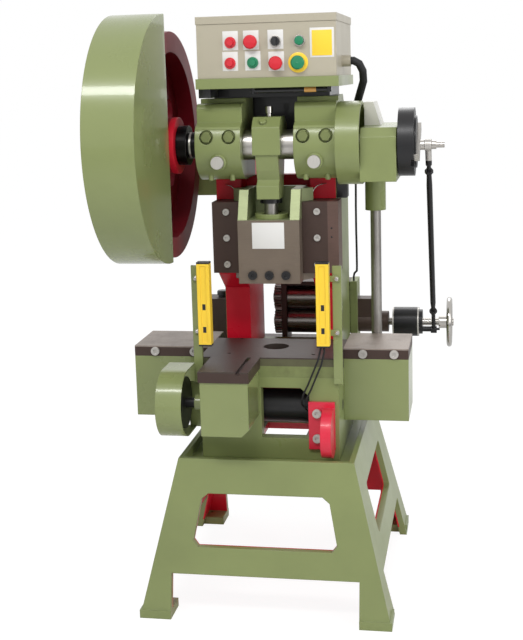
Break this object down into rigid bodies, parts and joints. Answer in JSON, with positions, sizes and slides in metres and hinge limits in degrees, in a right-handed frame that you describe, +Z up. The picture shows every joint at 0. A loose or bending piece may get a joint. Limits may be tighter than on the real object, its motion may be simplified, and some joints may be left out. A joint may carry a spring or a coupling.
{
  "type": "button making press",
  "caption": "Open-back C-frame power press for making buttons, with crank and slide, guarded flywheel, roll feed, light curtain and control box on a cast stand.",
  "frame": {"origin": "on the floor, midway between the four anchor holes of the stand", "axes": "+X to the operator's right, +Y towards the back of the press, +Z up"},
  "size_m": [0.994, 1.0549, 1.788],
  "materials": {
    "green_paint_casting": "gloss green paint on cast iron",
    "green_paint_sheet": "gloss green paint",
    "red_paint_casting": "gloss red paint on cast iron",
    "red_paint_sheet": "gloss red paint",
    "ground_steel": "ground steel, browned",
    "bright_steel": "bright turned steel",
    "chrome_plate": "polished",
    "bronze": "bronze",
    "black_steel": "black oxide",
    "black_casting": "black paint",
    "belt_rubber": "rubber",
    "beige_paint_sheet": "beige powder coat",
    "cable_rubber": "rubber",
    "yellow_paint": "yellow paint on extruded aluminium",
    "lamp_plastic": "clear coloured plastic",
    "red_plastic": "gloss",
    "green_plastic": "gloss",
    "black_plastic": "matt"
  },
  "bodies": {
    "press": {"stand": "green_paint_casting", "press_frame": "green_paint_casting", "bearing_cap_left": "green_paint_casting", "bearing_cap_right": "green_paint_casting", "gear_housing": "green_paint_casting", "wing_box_left": "green_paint_sheet", "wing_box_right": "green_paint_sheet", "front_box": "green_paint_sheet", "front_guard": "green_paint_sheet", "flywheel_guard": "green_paint_sheet", "motor_bracket": "green_paint_sheet", "box_tray": "green_paint_sheet", "curtain_posts": "green_paint_sheet", "hood_bracket": "red_paint_sheet", "bolster_plate": "ground_steel", "wing_plates": "ground_steel", "front_box_plate": "ground_steel", "gib_left": "ground_steel", "gib_right": "ground_steel", "feed_frame": "ground_steel", "cap_plugs": "bright_steel", "frame_bolts": "bright_steel", "button_bezels": "bright_steel", "main_bushes": "bronze", "motor": "black_casting", "drive_belts": "belt_rubber", "control_box": "beige_paint_sheet", "box_lid": "beige_paint_sheet", "conduit": "cable_rubber", "sensor_lead": "cable_rubber", "feeder_cable": "cable_rubber", "light_curtain_left": "yellow_paint", "light_curtain_right": "yellow_paint", "pilot_lamps": "lamp_plastic"},
    "crank": {"crankshaft": "bright_steel", "feed_disc": "black_steel", "stroke_bar": "bright_steel"},
    "flywheel_body": {"flywheel": "red_paint_casting"},
    "motor_rotor": {"motor_pulley": "black_steel"},
    "rod": {"connecting_rod": "green_paint_casting", "oil_cup": "bright_steel", "adjusting_screw": "ground_steel", "lock_ring": "black_steel"},
    "ram": {"slide": "ground_steel", "die_clamp": "ground_steel", "slide_bolts": "black_steel", "ball_gland": "green_paint_casting"},
    "side_shaft": {"vertical_shaft": "bright_steel"},
    "drum": {"bed_drum": "black_steel"},
    "small_pulley": {"front_pulley": "black_steel"},
    "feed_link": {"pull_rod": "black_steel"},
    "clutch": {"clutch_arm": "black_steel"},
    "lower_roll": {"lower_feed_roll": "bright_steel", "handwheel": "chrome_plate"},
    "upper_roll": {"upper_feed_roll": "bright_steel"},
    "stop_upper": {"stop_button_upper": "red_plastic"},
    "stop_lower": {"stop_button_lower": "red_plastic"},
    "start_upper": {"start_button_upper": "green_plastic"},
    "start_lower": {"start_button_lower": "green_plastic"},
    "selector": {"selector_switch": "black_plastic"}
  },
  "joints": [
    {"name": "crank_turn", "type": "hinge", "parent": "press", "child": "crank", "pos_m": [0, -0.085, 1.395], "axis": [1, 0, 0], "range_deg": [-60, 60]},
    {"name": "rod_pin", "type": "hinge", "parent": "crank", "child": "rod", "pos_m": [0, -0.108, 1.395], "axis": [1, 0, 0], "range_deg": [-60, 60]},
    {"name": "slide_travel", "type": "slide", "parent": "press", "child": "ram", "axis": [0, 0, 1], "range_m": [-0.02, 0.02]},
    {"name": "feed_link_pin", "type": "hinge", "parent": "crank", "child": "feed_link", "pos_m": [0.473, -0.09805, 1.38574], "axis": [1, 0, 0], "range_deg": [-60, 60]},
    {"name": "clutch_swing", "type": "hinge", "parent": "press", "child": "clutch", "pos_m": [0.38, 0.371, 0.752], "axis": [1, 0, 0], "range_deg": [-24.15, 24.15]},
    {"name": "side_shaft_turn", "type": "hinge", "parent": "press", "child": "side_shaft", "pos_m": [0.296, 0.139, 1], "axis": [0, 0, 1], "range_deg": [-60, 60]},
    {"name": "drum_turn", "type": "hinge", "parent": "press", "child": "drum", "pos_m": [0, -0.135, 0.596], "axis": [1, 0, 0], "range_deg": [-60, 60]},
    {"name": "flywheel_spin", "type": "hinge", "parent": "press", "child": "flywheel_body", "pos_m": [-0.385, -0.085, 1.395], "axis": [1, 0, 0], "continuous": true},
    {"name": "motor_spin", "type": "hinge", "parent": "press", "child": "motor_rotor", "pos_m": [-0.39, 0.421, 1.3], "axis": [1, 0, 0], "continuous": true},
    {"name": "small_pulley_spin", "type": "hinge", "parent": "press", "child": "small_pulley", "pos_m": [-0.26, -0.325, 0.646], "axis": [1, 0, 0], "continuous": true},
    {"name": "lower_roll_spin", "type": "hinge", "parent": "press", "child": "lower_roll", "pos_m": [0.08, 0.371, 0.752], "axis": [1, 0, 0], "continuous": true},
    {"name": "upper_roll_spin", "type": "hinge", "parent": "press", "child": "upper_roll", "pos_m": [0.08, 0.371, 0.836], "axis": [1, 0, 0], "continuous": true},
    {"name": "stop_upper_press", "type": "slide", "parent": "press", "child": "stop_upper", "axis": [0, 1, 0], "range_m": [0, 0.004], "stiffness_N_per_m": 400},
    {"name": "stop_lower_press", "type": "slide", "parent": "press", "child": "stop_lower", "axis": [0, 1, 0], "range_m": [0, 0.004], "stiffness_N_per_m": 400},
    {"name": "start_upper_press", "type": "slide", "parent": "press", "child": "start_upper", "axis": [0, 1, 0], "range_m": [0, 0.004], "stiffness_N_per_m": 300},
    {"name": "start_lower_press", "type": "slide", "parent": "press", "child": "start_lower", "axis": [0, 1, 0], "range_m": [0, 0.004], "stiffness_N_per_m": 300},
    {"name": "selector_turn", "type": "hinge", "parent": "press", "child": "selector", "pos_m": [0.041, -0.211, 1.697], "axis": [0, 1, 0], "range_deg": [-45, 45]}
  ],
  "couplings": [
    {"joint": "rod_pin", "follows": "crank_turn", "ratio": -1},
    {"joint": "slide_travel", "follows": "crank_turn", "m_per_rad": -0.019021},
    {"joint": "feed_link_pin", "follows": "crank_turn", "ratio": -1},
    {"joint": "clutch_swing", "follows": "crank_turn", "ratio": 0.40084},
    {"joint": "side_shaft_turn", "follows": "crank_turn", "ratio": 1},
    {"joint": "drum_turn", "follows": "crank_turn", "ratio": 1},
    {"joint": "motor_spin", "follows": "flywheel_spin", "ratio": 7.3147},
    {"joint": "upper_roll_spin", "follows": "lower_roll_spin", "ratio": -1}
  ]
}
